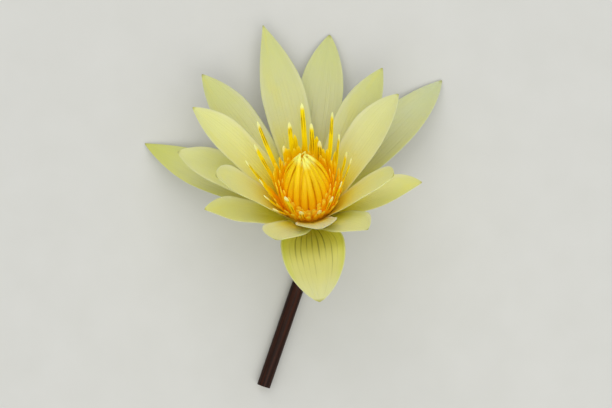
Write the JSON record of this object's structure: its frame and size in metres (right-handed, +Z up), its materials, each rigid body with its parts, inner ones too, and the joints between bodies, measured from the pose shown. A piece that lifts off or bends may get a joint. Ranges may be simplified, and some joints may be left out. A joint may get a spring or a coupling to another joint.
{
  "type": "water lily flower",
  "caption": "Cut water lily bloom, commonly called a lotus, lying on its side on its open sepals and a short bent stem: pale yellow pointed petals around a dome of golden stamens.",
  "frame": {"origin": "centre of the bounding box's footprint, on the surface the bloom lies on", "axes": "+Z up from the surface; +Y the way the bloom's axis leans, away from the stem; +X to the right seen from the stem end. The bloom's own axis rises 47 degrees from the surface, 5 degrees to the left of +Y"},
  "size_m": [0.1348, 0.1626, 0.0844],
  "materials": {
    "sepal": "satin, dark parallel veins, green rim and back",
    "petal": "satin, faint lengthwise veins, deeper yellow near the base",
    "stamen": "satin, brown anther lines and pale tips",
    "pistil": "satin, radial ribs",
    "receptacle": "satin",
    "stem": "smooth, slightly glossy red-brown"
  },
  "bodies": {
    "root": {"sepal_front": "sepal", "sepal_right": "sepal", "sepal_back": "sepal", "sepal_left": "sepal", "petal_outer_1": "petal", "petal_outer_2": "petal", "petal_outer_3": "petal", "petal_outer_4": "petal", "petal_outer_5": "petal", "petal_middle_1": "petal", "petal_middle_2": "petal", "petal_middle_3": "petal", "petal_middle_4": "petal", "petal_inner_1": "petal", "petal_inner_2": "petal", "petal_inner_3": "petal", "petal_inner_4": "petal", "stamen_outer_1": "stamen", "stamen_outer_2": "stamen", "stamen_outer_3": "stamen", "stamen_outer_4": "stamen", "stamen_outer_5": "stamen", "stamen_outer_6": "stamen", "stamen_outer_7": "stamen", "stamen_outer_8": "stamen", "stamen_outer_9": "stamen", "stamen_outer_10": "stamen", "stamen_outer_11": "stamen", "stamen_outer_12": "stamen", "stamen_outer_13": "stamen", "stamen_outer_14": "stamen", "stamen_outer_15": "stamen", "stamen_outer_16": "stamen", "stamen_outer_17": "stamen", "stamen_outer_18": "stamen", "stamen_outer_19": "stamen", "stamen_outer_20": "stamen", "stamen_inner_1": "stamen", "stamen_inner_2": "stamen", "stamen_inner_3": "stamen", "stamen_inner_4": "stamen", "stamen_inner_5": "stamen", "stamen_inner_6": "stamen", "stamen_inner_7": "stamen", "stamen_inner_8": "stamen", "stamen_inner_9": "stamen", "stamen_inner_10": "stamen", "stamen_inner_11": "stamen", "stamen_inner_12": "stamen", "stamen_inner_13": "stamen", "stamen_inner_14": "stamen", "stamen_inner_15": "stamen", "stamen_inner_16": "stamen", "stamen_inner_17": "stamen", "stamen_inner_18": "stamen", "receptacle": "receptacle", "pistil": "pistil", "stem": "stem"}
  },
  "joints": []
}
